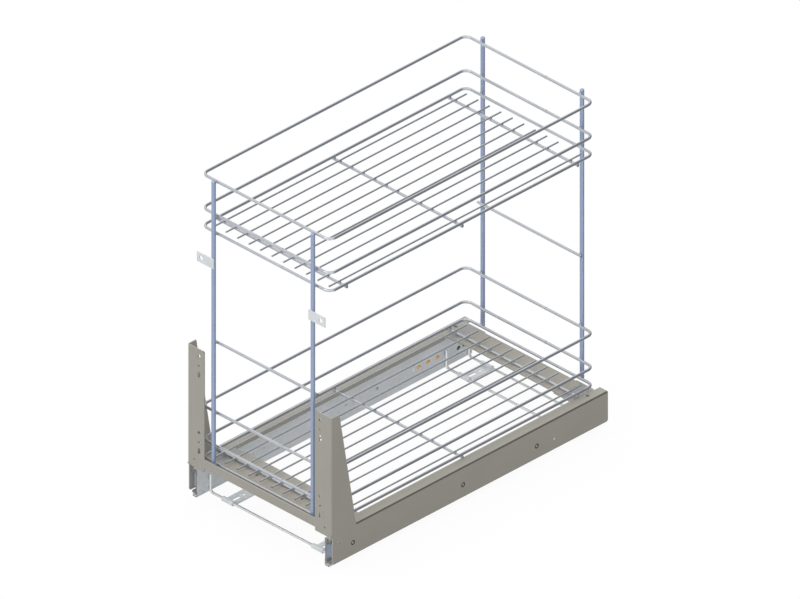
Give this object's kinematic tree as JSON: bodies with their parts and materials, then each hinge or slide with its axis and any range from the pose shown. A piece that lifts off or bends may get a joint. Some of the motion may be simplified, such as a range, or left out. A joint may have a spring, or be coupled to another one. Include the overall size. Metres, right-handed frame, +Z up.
{
  "type": "pull-out kitchen cabinet unit",
  "caption": "Pull-out for a kitchen base cabinet: wire baskets on a sheet steel carriage with door brackets, on full extension ball runners and a wire floor frame.",
  "frame": {"origin": "on the cabinet floor, midway between the outer faces of the side rails and midway along their depth", "axes": "+X from side to side, the door end faces -Y, +Z up; the carriage is drawn closed and comes out along -Y"},
  "size_m": [0.261, 0.5016, 0.4943],
  "materials": {
    "taupe_paint": "satin grey-brown powder coat",
    "zinc_sheet": "bright zinc plating",
    "blue_zinc": "blue zinc plating",
    "upright_steel": "bright, slightly blue plating",
    "chrome_wire": "bright plating",
    "zinc_wire": "bright zinc plating",
    "cage_steel": "plain sheet",
    "ball_steel": "polished",
    "screw_steel": "bright zinc plating",
    "orange_plastic": "moulded, satin",
    "black_rubber": "moulded, dull"
  },
  "bodies": {
    "fixed_frame": {"runner_fixed_left": "zinc_sheet", "runner_fixed_right": "zinc_sheet", "damper_left": "orange_plastic", "damper_right": "orange_plastic", "rear_buffer_left": "black_rubber", "rear_buffer_right": "black_rubber", "foot_wires_front": "zinc_wire", "foot_wires_rear": "zinc_wire", "floor_tab_front_left": "zinc_sheet", "floor_tab_front_right": "zinc_sheet", "floor_tab_rear_left": "zinc_sheet", "floor_tab_rear_right": "zinc_sheet"},
    "left_middle": {"runner_middle_left": "blue_zinc"},
    "left_outer_cage": {"outer_cage_left": "cage_steel", "outer_balls_left": "ball_steel"},
    "left_inner_cage": {"inner_cage_left": "cage_steel", "inner_balls_left": "ball_steel"},
    "right_middle": {"runner_middle_right": "blue_zinc"},
    "right_outer_cage": {"outer_cage_right": "cage_steel", "outer_balls_right": "ball_steel"},
    "right_inner_cage": {"inner_cage_right": "cage_steel", "inner_balls_right": "ball_steel"},
    "pull_out": {"runner_drawer_left": "zinc_sheet", "runner_drawer_right": "zinc_sheet", "side_rail_left": "taupe_paint", "side_rail_right": "taupe_paint", "rail_screws_left": "screw_steel", "rail_screws_right": "screw_steel", "front_cross_plate": "taupe_paint", "rear_cross_plate": "taupe_paint", "corner_plate_front_left": "taupe_paint", "corner_plate_front_right": "taupe_paint", "corner_plate_rear_left": "taupe_paint", "corner_plate_rear_right": "taupe_paint", "upright_front_left": "upright_steel", "upright_front_right": "upright_steel", "upright_rear_left": "upright_steel", "upright_rear_right": "upright_steel", "tie_bar_front": "chrome_wire", "tie_bar_rear": "chrome_wire", "door_lug_left": "zinc_sheet", "door_lug_right": "zinc_sheet", "lower_bottom_ring": "chrome_wire", "lower_middle_ring": "chrome_wire", "lower_top_ring": "chrome_wire", "lower_floor_wires": "chrome_wire", "lower_cross_wires": "chrome_wire", "upper_bottom_ring": "chrome_wire", "upper_middle_ring": "chrome_wire", "upper_top_ring": "chrome_wire", "upper_floor_wires": "chrome_wire", "upper_cross_wires": "chrome_wire"}
  },
  "joints": [
    {"name": "pull_out_slide", "type": "slide", "parent": "fixed_frame", "child": "pull_out", "axis": [0, -1, 0], "range_m": [0, 0.48]},
    {"name": "left_middle_slide", "type": "slide", "parent": "fixed_frame", "child": "left_middle", "axis": [0, -1, 0], "range_m": [0, 0.24]},
    {"name": "left_outer_cage_slide", "type": "slide", "parent": "fixed_frame", "child": "left_outer_cage", "axis": [0, -1, 0], "range_m": [0, 0.12]},
    {"name": "left_inner_cage_slide", "type": "slide", "parent": "fixed_frame", "child": "left_inner_cage", "axis": [0, -1, 0], "range_m": [0, 0.36]},
    {"name": "right_middle_slide", "type": "slide", "parent": "fixed_frame", "child": "right_middle", "axis": [0, -1, 0], "range_m": [0, 0.24]},
    {"name": "right_outer_cage_slide", "type": "slide", "parent": "fixed_frame", "child": "right_outer_cage", "axis": [0, -1, 0], "range_m": [0, 0.12]},
    {"name": "right_inner_cage_slide", "type": "slide", "parent": "fixed_frame", "child": "right_inner_cage", "axis": [0, -1, 0], "range_m": [0, 0.36]}
  ],
  "couplings": [
    {"joint": "left_middle_slide", "follows": "pull_out_slide", "ratio": 0.5},
    {"joint": "left_outer_cage_slide", "follows": "pull_out_slide", "ratio": 0.25},
    {"joint": "left_inner_cage_slide", "follows": "pull_out_slide", "ratio": 0.75},
    {"joint": "right_middle_slide", "follows": "pull_out_slide", "ratio": 0.5},
    {"joint": "right_outer_cage_slide", "follows": "pull_out_slide", "ratio": 0.25},
    {"joint": "right_inner_cage_slide", "follows": "pull_out_slide", "ratio": 0.75}
  ]
}
